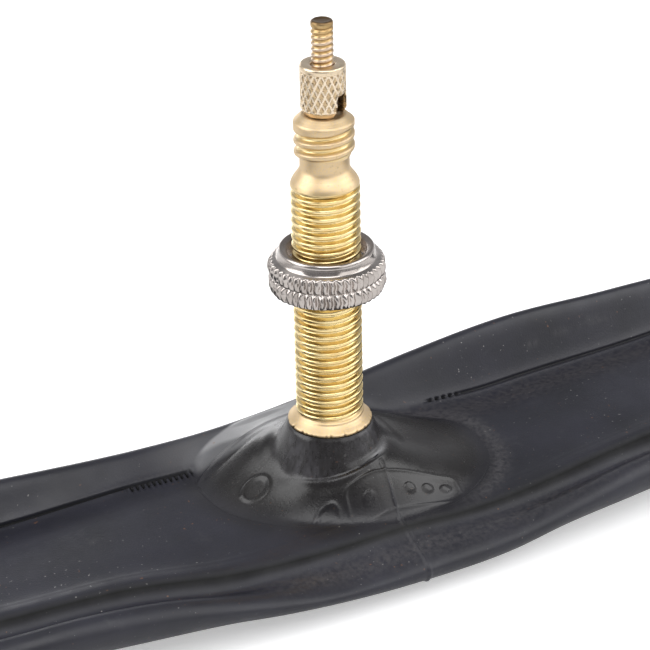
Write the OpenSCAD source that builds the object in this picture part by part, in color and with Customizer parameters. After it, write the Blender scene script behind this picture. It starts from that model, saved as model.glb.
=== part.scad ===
// Bicycle inner tube with a slim threaded valve, let down and lying flat.
// Millimetres. The ring's centre on the floor is the origin, +Z is up, and the valve stands at -Y.

/* [Tube] */
// Radius of the ring, to the middle of the flattened tube
ring_r = 295; // [250:1:340]
// Width of the flattened tube
tube_w = 27; // [25.5:0.5:40]
// Height of the rolled inner edge above the floor
roll_h = 9; // [8.5:0.1:14]
// Radius of the rolled edge at its top
roll_top_r = 2.4; // [1.6:0.1:2.8]
// Radius of the rolled edge at the floor
roll_foot_r = 4; // [3:0.1:5]
// Width of the flat band that carries the pad, beside the rolled edge
band_w = 15.4; // [13:0.1:16.5]
// Height of the flat band above the floor
band_h = 6; // [5:0.1:6.5]
// Width of the rounded outer edge
edge_w = 3.5; // [2:0.1:5]
// Thickness of the rubber wall
tube_wall = 0.9; // [0.6:0.05:1.4]
// Diameter of the hole punched in the tube under the valve
punched_d = 4.4; // [3:0.1:6]

/* [Valve pad] */
// Length of the pad along the tube
pad_l = 30; // [26:0.5:48]
// Gap between the pad and the rolled edge
pad_gap = 0.3; // [0.2:0.05:1]
// Rise of the pad's crown above the band
pad_rise = 4.6; // [4:0.1:6]
// Height of the pad's straight sides
pad_side_h = 2.6; // [1:0.1:3.5]
// Rise of the boss round the stem above the crown
boss_rise = 2.2; // [1.5:0.1:5]
// Radius of the boss at its foot
boss_foot_r = 6.2; // [5.6:0.1:7]
// Depth of the boss's foot below the crown
boss_sink = 0.8; // [0.5:0.1:2]
// Rubber between the skirt and the boss's lip
boss_lip = 0.4; // [0.2:0.05:1]

/* [Valve stem] */
// Height of the stem above the boss
stem_l = 29.2; // [25:0.1:60]
// Diameter of the long thread
stem_d = 6; // [5.6:0.1:6.4]
// Pitch of the long thread
stem_pitch = 0.8; // [0.7:0.05:1]
// Depth of the long thread
stem_thread_depth = 0.42; // [0.2:0.02:0.5]
// Diameter of the flared skirt where it meets the rubber
skirt_d = 7.5; // [7:0.1:8]
// Height of the flared skirt
skirt_h = 1.95; // [1.2:0.05:3]
// Diameter of the foot held inside the rubber
foot_d = 10; // [8.5:0.1:10.4]
// Thickness of the foot
foot_t = 1; // [0.6:0.1:1.4]
// Rubber under the foot
foot_bed = 0.8; // [0.4:0.1:1.2]
// Diameter of the cap thread
cap_d = 5.2; // [5:0.05:5.4]
// Pitch of the cap thread
cap_pitch = 1.058; // [0.9:0.001:1.2]
// Depth of the cap thread
cap_thread_depth = 0.42; // [0.2:0.02:0.5]
// Length of the cap thread
cap_l = 3.2; // [2.4:0.1:5]
// Height of the rounded top above the cap thread
top_h = 0.95; // [0.5:0.05:1.5]
// Diameter of the flat top face
top_d = 3.9; // [3.4:0.1:4.4]
// Diameter of the neck under the cap thread
neck_d = 4.3; // [3.8:0.1:4.6]
// Length of the neck
neck_l = 0.9; // [0.5:0.1:2]
// Height of the shoulder under the neck
shoulder_h = 1.3; // [0.8:0.1:2.5]
// Diameter of the air bore
bore_d = 3.6; // [3.2:0.1:4]
// Depth of the seal's seat below the top face
seat_depth = 7.5; // [6.6:0.1:12]

/* [Rim nut] */
// Height of the nut's underside above the boss
nut_up = 13; // [6:0.1:18]
// Diameter over the knurled ring
nut_d = 10.3; // [9.4:0.1:14]
// Height of the knurled ring
nut_ring_h = 2.9; // [2:0.1:4]
// Number of teeth round the knurled ring
nut_teeth = 40; // [24:1:60]
// Depth of the teeth
nut_tooth_depth = 0.3; // [0.15:0.05:0.5]
// Width of the groove that parts the two rows of teeth
nut_groove_w = 0.3; // [0.2:0.05:0.6]
// Diameter of the smooth collar
nut_collar_d = 8.4; // [8:0.1:8.8]
// Height of the smooth collar
nut_collar_h = 1; // [0.6:0.1:2]
// Diameter of the counterbore in the collar
nut_counterbore_d = 7.15; // [6.6:0.05:7.4]
// Depth of the counterbore
nut_counterbore_depth = 1.4; // [0.6:0.1:2]

/* [Valve pin] */
// Diameter of the pin
pin_d = 1.9; // [1.6:0.05:2]
// Pitch of the pin's thread
pin_pitch = 0.5; // [0.35:0.05:0.6]
// Depth of the pin's thread
pin_thread_depth = 0.2; // [0.1:0.02:0.3]
// Length of the pin above its lock nut
pin_proud = 3.75; // [2:0.05:6]
// Length of the plain tip that stops the lock nut
pin_tip_l = 0.7; // [0.4:0.05:1.2]
// Diameter of the spigot that carries the seal
spigot_d = 1.3; // [1:0.05:1.4]
// Diameter of the riveted end under the seal
rivet_d = 2; // [1.7:0.1:2.4]
// Thickness of the riveted end
rivet_t = 0.5; // [0.3:0.1:1]

/* [Lock nut on the pin] */
// Diameter over the knurl
lock_d = 3.9; // [3.4:0.1:4.4]
// Height of the lock nut
lock_h = 4.4; // [3.5:0.1:6]
// Height of the plain band at the top
lock_band_h = 0.7; // [0.3:0.1:1]
// Height of the tapered foot
lock_taper_h = 0.5; // [0.3:0.1:1]
// Width of the air slot across the foot
slot_w = 1.5; // [1:0.1:1.6]
// Height of the air slot
slot_h = 1.65; // [0.8:0.05:2]
// Direction of the air slot, from +X
slot_angle = -76; // [-90:1:90]

/* [Seal] */
// Diameter of the rubber seal
seal_d = 3.1; // [2.8:0.05:3.1]
// Height of the rubber seal
seal_h = 1.5; // [1:0.1:2.5]
// Diameter of the washer under the seal
washer_d = 2.9; // [2.4:0.1:3]
// Thickness of the washer
washer_t = 0.5; // [0.3:0.1:1]

/* [Clearances] */
// Radial play of a nut on its thread
thread_play = 0.05; // [0.03:0.01:0.1]
// Radial play of the pin in its guide
guide_play = 0.15; // [0.1:0.01:0.2]
// Gap between faces that meet but move apart
face_gap = 0.05; // [0.02:0.01:0.1]
// Bevel on turned and milled edges
bevel = 0.3; // [0.1:0.02:0.32]

/* [Hidden] */
$fn = 96;

rubber = "#2b2b2e";
pad_rubber = "#1d1c1c";
brass = "#d9b45a";
nickel = "#b9b6b2";
seal_rubber = "#3a3530";

// Heights above the floor, from the tube up to the tip of the pin
crown_z = band_h + pad_rise;
boss_z = crown_z + boss_rise;
foot_z = band_h + foot_bed;
thread_z = boss_z + skirt_h;
stem_top_z = boss_z + stem_l;
cap_top_z = stem_top_z - top_h;
cap_z = cap_top_z - cap_l;
neck_z = cap_z - neck_l;
shoulder_z = neck_z - shoulder_h;
seat_z = stem_top_z - seat_depth;
nut_z = boss_z + nut_up;
nut_ring_top_z = nut_z + nut_ring_h;
nut_top_z = nut_ring_top_z + nut_collar_h;
lock_z = stem_top_z + face_gap;
lock_top_z = lock_z + lock_h;
pin_tip_z = lock_top_z + pin_proud;
seal_top_z = seat_z - face_gap;
seal_z = seal_top_z - seal_h;
washer_z = seal_z - washer_t;
rivet_z = washer_z - rivet_t;

// Half width of the pad, and the radius of the pin's guide in the stem
pad_half = band_w / 2 - pad_gap;
guide_r = pin_d / 2 + guide_play;

// Shares of a thread's pitch at its crest and flank, and of its depth in the hollow of its root
crest_share = 1 / 8;
flank_share = 0.3;
root_share = 0.15;

// Angle of each straight step round a bend of the tube's wall, and steps of a hollow flare
bend_step = 15;
skirt_steps = 6;
boss_steps = 8;

// How far a cut passes a face
overrun = 0.3;

// Radius of the circle on which an arc of the given half chord and rise lies
function arc_radius(half_chord, rise) = (pow(half_chord, 2) + pow(rise, 2)) / (2 * rise);

// Outline of parallel thread ridges from z0 up to at most z1, with a hollow root between two ridges
function ridges(r, depth, pitch, z0, z1) =
    let (
        count = floor((z1 - z0) / pitch),
        half_crest = pitch * crest_share / 2,
        foot = half_crest + pitch * flank_share,
        foot_r = r - depth * (1 - root_share)
    )
    [for (i = [0 : count - 1], step = [0 : 4])
        let (z = z0 + i * pitch + pitch / 2)
        if (step < 4 || i < count - 1)
            step == 0 ? [foot_r, z - foot]
            : step == 1 ? [r, z - half_crest]
            : step == 2 ? [r, z + half_crest]
            : step == 3 ? [foot_r, z + foot]
            : [r - depth, z + pitch / 2]];

// Hollow flare from (r0, z0) in and up to (r1, z1), a quarter ellipse with its bulge towards the axis
function flare(r0, z0, r1, z1, steps) =
    [for (i = [0 : steps])
        let (a = 90 * i / steps)
        [r0 + (r1 - r0) * sin(a), z1 + (z0 - z1) * cos(a)]];

module at_valve() {
    translate([0, -ring_r, 0]) children();
}

// Points along an arc of an ellipse with the given centre and half axes
function bend(center, half_w, half_h, from, to) =
    [for (a = [from : bend_step : to]) [center[0] + half_w * cos(a), center[1] + half_h * sin(a)]];

// Outline of the tube's section, drawn in by the inset: rounded outer edge, flat band, rolled inner edge
function section(inset) =
    let (
        side = tube_w / 2,
        top_r = roll_top_r - inset,
        foot_r = roll_foot_r - inset,
        roll_z = roll_h - roll_top_r,
        edge_z = band_h / 2
    )
    concat(
        bend([side - edge_w, edge_z], edge_w - inset, edge_z - inset, -90, 90),
        [[-band_w / 2 - inset, band_h - inset]],
        bend([-band_w / 2 - roll_top_r, roll_z], top_r, top_r, 0, 90),
        bend([roll_top_r - side, roll_z], top_r, top_r, 90, 180),
        bend([roll_foot_r - side, roll_foot_r], foot_r, foot_r, 180, 270)
    );

// Rubber tube, one endless hollow ring
module tube_body() {
    color(rubber)
    difference() {
        rotate_extrude() translate([ring_r, 0]) polygon(section(0));
        rotate_extrude() translate([ring_r, 0]) polygon(section(tube_wall));
        at_valve() translate([0, 0, band_h / 2]) cylinder(h = band_h, d = punched_d);
    }
}

// Moulded rubber pad: a crown like the side of a barrel, and a boss that grips the stem
module valve_pad() {
    across_r = arc_radius(pad_half, pad_rise - pad_side_h);
    along_r = arc_radius(pad_l / 2, pad_rise);
    axis_z = crown_z - across_r;
    color(pad_rubber)
    at_valve() difference() {
        union() {
            intersection() {
                translate([0, 0, axis_z]) rotate([0, 90, 0]) rotate_extrude()
                    intersection() {
                        translate([across_r - along_r, 0]) circle(r = along_r);
                        translate([0, -pad_l / 2]) square([across_r, pad_l]);
                    }
                translate([-pad_l / 2, -pad_half, band_h]) cube([pad_l, 2 * pad_half, pad_rise]);
            }
            rotate_extrude() polygon([
                [0, foot_z],
                [boss_foot_r, foot_z],
                each flare(boss_foot_r, crown_z - boss_sink, skirt_d / 2 + boss_lip, boss_z, boss_steps),
                [0, boss_z]
            ]);
        }
        stem_envelope();
        translate([0, 0, band_h - overrun]) cylinder(h = foot_bed + 2 * overrun, d = punched_d);
    }
}

// The space that the stem's foot and buried skirt take up in the rubber
module stem_envelope() {
    rotate_extrude() polygon(concat(buried_outline(), [[0, boss_z], [0, foot_z]]));
}

// Foot and buried skirt, from the foot's underside up to the boss's lip
function buried_outline() = [
    [foot_d / 2, foot_z],
    [foot_d / 2, foot_z + foot_t],
    [stem_d / 2, foot_z + foot_t + bevel],
    [stem_d / 2, boss_z - skirt_h / 2],
    [skirt_d / 2, boss_z]
];

// Brass stem: foot, flared skirt, long thread, neck, cap thread and rounded top, bored for the pin
module valve_stem() {
    thread_root_r = stem_d / 2 - stem_thread_depth;
    cap_root_r = cap_d / 2 - cap_thread_depth;
    color(brass)
    at_valve() rotate_extrude() polygon(concat(
        [[bore_d / 2, foot_z]],
        buried_outline(),
        flare(skirt_d / 2, boss_z, thread_root_r, thread_z, skirt_steps),
        ridges(stem_d / 2, stem_thread_depth, stem_pitch, thread_z, shoulder_z),
        [
            [thread_root_r, shoulder_z],
            [stem_d / 2 - bevel / 2, shoulder_z + bevel / 2],
            [neck_d / 2, neck_z],
            [neck_d / 2, cap_z - bevel / 2],
            [cap_root_r, cap_z]
        ],
        ridges(cap_d / 2, cap_thread_depth, cap_pitch, cap_z, cap_top_z),
        [
            [cap_root_r, cap_top_z],
            [cap_d / 2 - bevel / 2, cap_top_z + bevel / 2],
            [top_d / 2, stem_top_z],
            [guide_r, stem_top_z],
            [guide_r, seat_z],
            [bore_d / 2, seat_z]
        ]
    ));
}

// Nickel-plated nut that clamps the rim: two rows of teeth under a smooth collar
module rim_nut() {
    tooth_r = nut_d / 2;
    valley_r = tooth_r - nut_tooth_depth;
    step = 360 / nut_teeth;
    color(nickel)
    at_valve() difference() {
        union() {
            intersection() {
                translate([0, 0, nut_z]) linear_extrude(nut_ring_h) polygon([
                    for (i = [0 : nut_teeth - 1], side = [0 : 1])
                        let (a = step * (i + side / 2), r = side == 0 ? tooth_r : valley_r)
                        [r * cos(a), r * sin(a)]
                ]);
                rotate_extrude() polygon([
                    [0, nut_z],
                    [tooth_r - bevel, nut_z],
                    [tooth_r, nut_z + bevel],
                    [tooth_r, nut_ring_top_z - bevel],
                    [tooth_r - bevel, nut_ring_top_z],
                    [0, nut_ring_top_z]
                ]);
            }
            translate([0, 0, nut_z + nut_ring_h / 2])
                cylinder(h = nut_ring_h / 2 + nut_collar_h - bevel, d = nut_collar_d);
            translate([0, 0, nut_top_z - bevel])
                cylinder(h = bevel, d1 = nut_collar_d, d2 = nut_collar_d - 2 * bevel);
        }
        translate([0, 0, nut_z - overrun])
            cylinder(h = nut_ring_h + nut_collar_h, d = stem_d + 2 * thread_play);
        translate([0, 0, nut_top_z - nut_counterbore_depth])
            cylinder(h = nut_counterbore_depth + overrun, d = nut_counterbore_d);
        translate([0, 0, nut_z + (nut_ring_h - nut_groove_w) / 2]) difference() {
            cylinder(h = nut_groove_w, r = tooth_r + overrun);
            cylinder(h = nut_groove_w, r = valley_r);
        }
    }
}

// Brass lock nut that screws down the pin onto the stem's top, with an air slot across its foot
module lock_nut() {
    r = lock_d / 2;
    color(brass)
    at_valve() difference() {
        rotate_extrude() polygon([
            [pin_d / 2 + thread_play, lock_z],
            [r - bevel, lock_z],
            [r, lock_z + lock_taper_h],
            [r, lock_top_z - lock_band_h],
            [r - bevel / 2, lock_top_z - lock_band_h + bevel / 2],
            [r - bevel / 2, lock_top_z - bevel / 2],
            [r - bevel, lock_top_z],
            [pin_d / 2 + thread_play, lock_top_z]
        ]);
        rotate(slot_angle) translate([-lock_d, -slot_w / 2, lock_z - overrun])
            cube([2 * lock_d, slot_w, slot_h + overrun]);
    }
}

// Brass pin: plain tip, thread, shank, and a spigot riveted over under the seal
module valve_pin() {
    root_r = pin_d / 2 - pin_thread_depth;
    thread_end_z = pin_tip_z - pin_tip_l;
    color(brass)
    at_valve() rotate_extrude() polygon(concat(
        [
            [0, rivet_z],
            [rivet_d / 2 - bevel / 2, rivet_z],
            [rivet_d / 2, rivet_z + bevel / 2],
            [rivet_d / 2, washer_z],
            [spigot_d / 2, washer_z],
            [spigot_d / 2, seal_top_z],
            [pin_d / 2, seal_top_z],
            [pin_d / 2, stem_top_z]
        ],
        ridges(pin_d / 2, pin_thread_depth, pin_pitch, stem_top_z, thread_end_z),
        [
            [root_r, thread_end_z],
            [pin_d / 2, thread_end_z + pin_thread_depth],
            [pin_d / 2, pin_tip_z - bevel / 2],
            [pin_d / 2 - bevel / 2, pin_tip_z],
            [0, pin_tip_z]
        ]
    ));
}

// Rubber seal that closes the air way from below
module pin_seal() {
    color(seal_rubber)
    at_valve() rotate_extrude() polygon([
        [spigot_d / 2, seal_z],
        [seal_d / 2, seal_z],
        [seal_d / 2, seal_top_z - bevel],
        [seal_d / 2 - bevel, seal_top_z],
        [spigot_d / 2, seal_top_z]
    ]);
}

// Brass washer that backs the seal
module seal_washer() {
    color(brass)
    at_valve() translate([0, 0, washer_z]) difference() {
        cylinder(h = washer_t, d = washer_d);
        translate([0, 0, -overrun]) cylinder(h = washer_t + 2 * overrun, d = spigot_d);
    }
}

tube_body();
valve_pad();
valve_stem();
rim_nut();
lock_nut();
valve_pin();
pin_seal();
seal_washer();
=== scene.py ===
"""Looks of a let-down bicycle inner tube with a slim threaded brass valve.

Every piece is a surface worked out with numpy in millimetres and stored in metres. Points on the rubber
are given as (along, front, height): the way along the ring from the valve, to the right as the camera sees
it, the way across from the ring's middle line towards its outside, and the height above the floor.
"""
import math

import bpy
import numpy as np
from mathutils import Matrix, Vector


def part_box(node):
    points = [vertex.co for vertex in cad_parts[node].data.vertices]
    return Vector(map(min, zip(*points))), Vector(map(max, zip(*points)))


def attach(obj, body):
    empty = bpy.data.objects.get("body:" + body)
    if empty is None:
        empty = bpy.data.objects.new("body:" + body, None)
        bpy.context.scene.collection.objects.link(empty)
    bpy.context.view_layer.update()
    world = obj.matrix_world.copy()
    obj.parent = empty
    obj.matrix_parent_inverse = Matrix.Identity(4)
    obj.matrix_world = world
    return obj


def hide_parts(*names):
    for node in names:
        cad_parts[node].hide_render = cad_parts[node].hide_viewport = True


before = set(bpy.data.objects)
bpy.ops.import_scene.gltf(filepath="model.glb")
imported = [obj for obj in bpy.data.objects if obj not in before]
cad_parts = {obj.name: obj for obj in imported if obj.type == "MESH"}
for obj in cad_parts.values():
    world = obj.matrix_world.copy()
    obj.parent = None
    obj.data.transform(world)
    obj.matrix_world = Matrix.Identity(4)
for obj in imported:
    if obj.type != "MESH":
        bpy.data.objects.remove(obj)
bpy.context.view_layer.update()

# Sizes that come from the frame, in millimetres
MM = 0.001
stem_low, stem_high = (np.array(c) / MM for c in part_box("valve_stem"))
tube_high = np.array(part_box("tube_body")[1]) / MM
nut_low, nut_high = (np.array(c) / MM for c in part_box("rim_nut"))
lock_low, lock_high = (np.array(c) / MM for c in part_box("lock_nut"))
pin_low, pin_high = (np.array(c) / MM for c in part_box("valve_pin"))
seal_low, seal_high = (np.array(c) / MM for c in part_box("pin_seal"))
RING_R = -(stem_low[1] + stem_high[1]) / 2
HALF_W = tube_high[0] - RING_R
STEM_TOP = stem_high[2]
VALVE = np.array([0.0, -RING_R, 0.0])
TURN = 2 * math.pi


# Curves and surfaces

def ease(x, low, high):
    """A smooth step: 0 below low, 1 above high, and the cubic 3t^2 - 2t^3 between them."""
    t = np.clip((x - low) / (high - low), 0, 1)
    return t * t * (3 - 2 * t)


def span(x, rise, fall):
    """One between two smooth steps, up over the first pair of places and down over the second."""
    return ease(x, *rise) * (1 - ease(x, *fall))


def hump(x, middle, half_width):
    """A bell of height 1: e to the power of minus the squared distance in half widths."""
    return np.exp(-(((x - middle) / half_width) ** 2))


def spots(x, y, places):
    """The sum of spots, each a bell along x times one along y, by middle and half width of x, then of y."""
    return sum(hump(x, *spot[:2]) * hump(y, *spot[2:]) for spot in places)


def hermite(t, step, start, end, start_slope, end_slope):
    """The cubic from one value to another with given slopes at its ends, at a share t of the step."""
    return (
        start * (1 + 2 * t) * (1 - t) ** 2
        + end * t * t * (3 - 2 * t)
        + start_slope * step * t * (1 - t) ** 2
        - end_slope * step * t * t * (1 - t)
    )


def curve_through(x, knots):
    """A cubic through (place, value) knots, sloped at each as its neighbours are, level past the ends."""
    at, value = np.array(knots, float).T
    slope = np.gradient(value, at)
    slope[[0, -1]] = 0
    i = np.clip(np.searchsorted(at, x) - 1, 0, len(at) - 2)
    step = at[i + 1] - at[i]
    t = np.clip((x - at[i]) / step, 0, 1)
    return hermite(t, step, value[i], value[i + 1], slope[i], slope[i + 1])


def wave(x):
    """A zigzag between 0 and 1 with period 1, which is 0 at whole numbers."""
    return 1 - np.abs(2 * (x % 1) - 1)


def placed(name, data):
    """A new object in the scene, with the given mesh, lamp or camera."""
    thing = bpy.data.objects.new(name, data)
    bpy.context.scene.collection.objects.link(thing)
    return thing


def surface(name, points, material, capped, **marks):
    """A piece from a grid of points (rows, columns, 3) in millimetres, with its material and its marks.

    Neighbouring rows and columns are joined by four-sided faces. The columns go all the way round. So do the
    rows, or else caps close the first and last row with a fan round its middle. The faces are turned
    outwards if the signed volume that they enclose comes out below zero. A mark is one number a vertex, in
    the order of the grid, for the material to read. The middle of a cap takes the last one.
    """
    rows, columns = points.shape[:2]
    index = np.arange(rows * columns).reshape(rows, columns)
    down = index if capped else np.vstack([index, index[:1]])
    grid = np.hstack([down, down[:, :1]])
    quads = np.stack([grid[:-1, :-1], grid[:-1, 1:], grid[1:, 1:], grid[1:, :-1]], -1).reshape(-1, 4)
    verts = points.reshape(-1, 3)
    a, b, c, d = (verts[quads[:, k]] for k in range(4))
    volume = (a * (np.cross(b, c) + np.cross(c, d))).sum() / 6
    faces = [quads]
    for end in (0, -1) if capped else ():
        fan = np.stack([np.roll(index[end], -1), index[end], np.full(columns, len(verts))], -1)
        faces.append(fan if end == 0 else fan[:, ::-1])
        verts = np.vstack([verts, points[end].mean(axis=0)])
    if volume < 0:
        faces = [face[:, ::-1] for face in faces]
    corners = np.concatenate([face.ravel() for face in faces])
    sizes = np.concatenate([np.full(len(face), face.shape[1]) for face in faces])
    mesh = bpy.data.meshes.new(name)
    mesh.vertices.add(len(verts))
    mesh.vertices.foreach_set("co", (verts * MM).astype(np.float32).ravel())
    mesh.loops.add(len(corners))
    mesh.loops.foreach_set("vertex_index", corners.astype(np.int32))
    mesh.polygons.add(len(sizes))
    mesh.polygons.foreach_set("loop_start", (np.cumsum(sizes) - sizes).astype(np.int32))
    mesh.polygons.foreach_set("use_smooth", np.ones(len(sizes), bool))
    mesh.update(calc_edges=True)
    mesh.validate()
    mesh.materials.append(material)
    for key, values in marks.items():
        padded = np.full(len(verts), values.ravel()[-1], np.float32)
        padded[: values.size] = values.ravel()
        mesh.attributes.new(key, "FLOAT", "POINT").data.foreach_set("value", padded)
    return placed(name, mesh)


def from_axis(points):
    """How far points lie from the valve's axis."""
    return np.linalg.norm(points[..., :2] - VALVE[:2], axis=-1)


def round_valve(radius, angle, height):
    """Points at a radius and an angle round the valve's axis, and at a height."""
    return VALVE + np.stack([radius * np.cos(angle), radius * np.sin(angle), height], -1)


def turned(outline, columns, shape=None):
    """Points of an outline of (radius, height) carried round the valve's axis.

    shape(radius, height, angle) may move each point's radius, as a thread or a knurl does.
    """
    outline = np.asarray(outline, float)
    angle = np.linspace(0, TURN, columns, endpoint=False)
    radius = np.repeat(outline[:, :1], columns, axis=1)
    height = np.repeat(outline[:, 1:], columns, axis=1)
    if shape:
        radius = shape(radius, height, angle[None, :])
    return round_valve(radius, angle, height)


def divided(outline, step):
    """The outline's straight stretches cut into equal steps no longer than the given one."""
    outline = np.asarray(outline, float)
    parts = [
        np.linspace(a, b, max(1, math.ceil(np.linalg.norm(b - a) / step)), endpoint=False)
        for a, b in zip(outline[:-1], outline[1:])
    ]
    return np.vstack([*parts, outline[-1:]])


def arc(center, radius, start, end, steps):
    """Points on a circle between two angles in degrees."""
    a = np.radians(np.linspace(start, end, steps + 1))
    return np.stack([center[0] + radius * np.cos(a), center[1] + radius * np.sin(a)], -1)


def thread(height, angle, pitch, low, high, fade, start=0.0):
    """How much of a right-hand thread's ridge stands at a point, from 0 at the root to 1 at the crest.

    The ridge climbs one pitch a turn. Its section is a cosine with a flattened crest, and it fades out over
    the given length at both ends. Start shifts it by a share of a turn.
    """
    phase = height / pitch - angle / TURN - start
    ridge = ease(0.5 + 0.5 * np.cos(TURN * phase), 0.02, 0.9)
    return ridge * span(height, (low, low + fade), (high - fade, high))


# The tube's section: heights along the valve's stretch, measured from the photograph's camera

ROLL_HEIGHT = [
    (-60, 7.95), (-28, 7.75), (-14, 7.65), (-8, 7.8), (-2, 8.3),
    (4, 9.0), (14, 10.3), (26, 11.05), (40, 10.1), (60, 8.7),
]
BACK_LINE_HEIGHT = [
    (-60, 4.85), (-29, 4.85), (-22, 5.5), (-17, 5.9), (-10, 6.0),
    (15, 6.35), (21, 5.95), (26, 5.95), (43, 5.4), (60, 5.3),
]
FRONT_LINE_HEIGHT = [
    (-60, 6.4), (-33, 6.5), (-22, 6.7), (-14, 5.8), (-5, 5.9),
    (2, 6.1), (10, 5.5), (16, 5.7), (23, 6.3), (60, 6.0),
]
RIDGE_HEIGHT = [
    (-60, 6.6), (-34, 6.7), (-27, 7.0), (-20, 6.5), (-13, 5.0), (-7, 3.9),
    (4, 4.1), (11, 4.3), (18, 5.4), (23, 6.3), (40, 6.6),
]
LIP_HEIGHT = [
    (-60, 4.3), (-26, 4.2), (-15, 3.5), (-10, 2.8), (3, 2.1), (11, 2.3), (17, 3.2), (25, 3.8), (60, 4.1),
]
VALLEY_DEPTH = [(-60, 1.1), (-25, 1.3), (-14, 1.1), (-8, 0.4), (9, 0.3), (16, 0.9), (22, 1.3), (60, 1.1)]
BACK_LINE = -7.7
FRONT_LINE = 7.2
VALVE_STRETCH = (70.0, 120.0)

# The rubber dome over the valve's foot, and the pad's own border
DOME_RISE = 4.3
DOME_LEFT = (1.5, 1.6)
DOME_RIGHT = (1.8, 1.7)
DOME_FRONT = (6.0, 3.0)
DOME_BACK = (4.6, 1.3)
DOME_BACK_W = 9.7
BOSS_R = 4.95
BOSS_TOP_R = 3.72
BOSS_RISE = 3.4
BOSS_TOP = STEM_TOP - 29.2
BOSS_LIP = 0.18
FILLET_FRONT = 0.25
FILLET_LEFT = 1.0
FILLET_RIGHT = 0.9
CREASE = 0.12
BEAD = 0.16
PAD_MIDDLE = (2.0, 0.0)
PAD_HALF_L = 13.4
PAD_HALF_W = 8.6
PAD_POWER = 2.3
PAD_SHEAR = 0.22
PAD_BACK = 7.1
PAD_STEP = 0.05
PAD_LIFT = 0.02
PAD_EDGE = 1.5
PAD_COLUMNS = 420
PAD_ROWS = 150
PAD_UNDER_STEP = 7
BORDER_EDGE = 0.998
BOND_FADE = 2.4


def far_shape(turn, base, swing, seed):
    """A height that wanders gently round the rest of the ring: three sines of whole turns, so it closes."""
    rng = np.random.default_rng(seed)
    phases = rng.uniform(0, TURN, 3)
    return base + swing * sum(
        np.sin(n * turn + p) / k for n, p, k in zip((5, 9, 16), phases, (1.6, 2.2, 3.2))
    )


def near_or_far(along, knots, base, swing, seed):
    """Measured heights near the valve, easing into the wandering ones round the rest of the ring."""
    share = ease(np.abs(along), *VALVE_STRETCH)
    return curve_through(along, knots) * (1 - share) + far_shape(along / RING_R, base, swing, seed) * share


def oval_reach(angle, back_half_w):
    """Distance from the valve to an oval about the pad's middle, whose left front is drawn in.

    Two powers add up to 1 on the oval, and the distance is scaled until they do.
    """
    c, d = np.cos(angle), np.sin(angle)
    half_w = np.where(d < 0, back_half_w, PAD_HALF_W)
    reach = np.full_like(angle, 10.0)
    for _ in range(40):
        along = reach * c - PAD_MIDDLE[0]
        front = reach * d - PAD_MIDDLE[1] - PAD_SHEAR * np.minimum(along, 0)
        value = np.abs(along / PAD_HALF_L) ** PAD_POWER + np.abs(front / half_w) ** PAD_POWER
        reach = reach * value ** (-0.5 / PAD_POWER)
    return reach


def pad_border(angle):
    """Distance from the valve to the pad's border: the oval, cut off with a soft corner at the back."""
    back = PAD_BACK / np.maximum(-np.sin(angle), 1e-3)
    soft = 10
    return (oval_reach(angle, PAD_HALF_W) ** -soft + back ** -soft) ** (-1 / soft)


BORDER_TURNS = np.linspace(-math.pi, math.pi, 721)
BORDER_REACH = oval_reach(BORDER_TURNS, DOME_BACK_W)


def dome(along, front):
    """Rise of the rubber round the valve: one less a power of the share of the way to the border, and that
    to another power. Both powers turn with the direction, so that the ends fall like a tent, the front like
    a bell and the back like a shoulder."""
    angle = np.arctan2(front, along)
    share = np.clip(np.hypot(along, front) / np.interp(angle, BORDER_TURNS, BORDER_REACH), 1e-6, 1)
    c, d = np.cos(angle), np.sin(angle)
    ends = [np.where(c < 0, left, right) for left, right in zip(DOME_LEFT, DOME_RIGHT)]
    sides = [np.where(d < 0, behind, ahead) for behind, ahead in zip(DOME_BACK, DOME_FRONT)]
    inner, outer = (end * c * c + side * d * d for end, side in zip(ends, sides))
    return DOME_RISE * (1 - share ** inner) ** outer


def section_knots(along):
    """Points (front, height) that the tube's section passes through at each place along it, from the floor
    round the outer lip, over the band and the rolled inner edge, and back to the floor."""
    roll = near_or_far(along, ROLL_HEIGHT, 8.2, 0.9, 1)
    back = near_or_far(along, BACK_LINE_HEIGHT, 5.0, 0.35, 2)
    line = near_or_far(along, FRONT_LINE_HEIGHT, 6.4, 0.35, 3)
    ridge = near_or_far(along, RIDGE_HEIGHT, 6.1, 0.5, 4)
    lip = near_or_far(along, LIP_HEIGHT, 3.5, 0.4, 5)
    valley = near_or_far(along, VALLEY_DEPTH, 1.0, 0.2, 6)
    knots = [
        (0, 0),
        (5.5, 0),
        (10.4, 0.55 * lip),
        (13.1, lip),
        (HALF_W - 0.05, 0.45 * lip + 0.55 * ridge),
        (12.0, ridge),
        (10.1, 0.35 * line + 0.65 * ridge - valley),
        (8.8, 0.75 * line + 0.25 * ridge + 0.2 * valley),
        (FRONT_LINE, line),
        (3.6, line * 0.75 + back * 0.25 + 0.25),
        (-2.5, line * 0.35 + back * 0.65 + 0.4),
        (BACK_LINE, back),
        (-8.7, back + 0.42 * (roll - back)),
        (-10.4, roll + 0.25),
        (-12.4, roll - 1.5),
        (0.2 - HALF_W, 0.48 * roll),
        (-12.0, 1.1),
        (-8.5, 0),
    ]
    return np.array([(front + 0 * along, up + 0 * along) for front, up in knots])


def section_places(knots):
    """How far round the section each knot lies, along straight chords, and last the whole way round."""
    ring = np.vstack([knots, knots[:1]])
    return np.concatenate([[0], np.cumsum(np.linalg.norm(np.diff(ring, axis=0), axis=1))])


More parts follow.
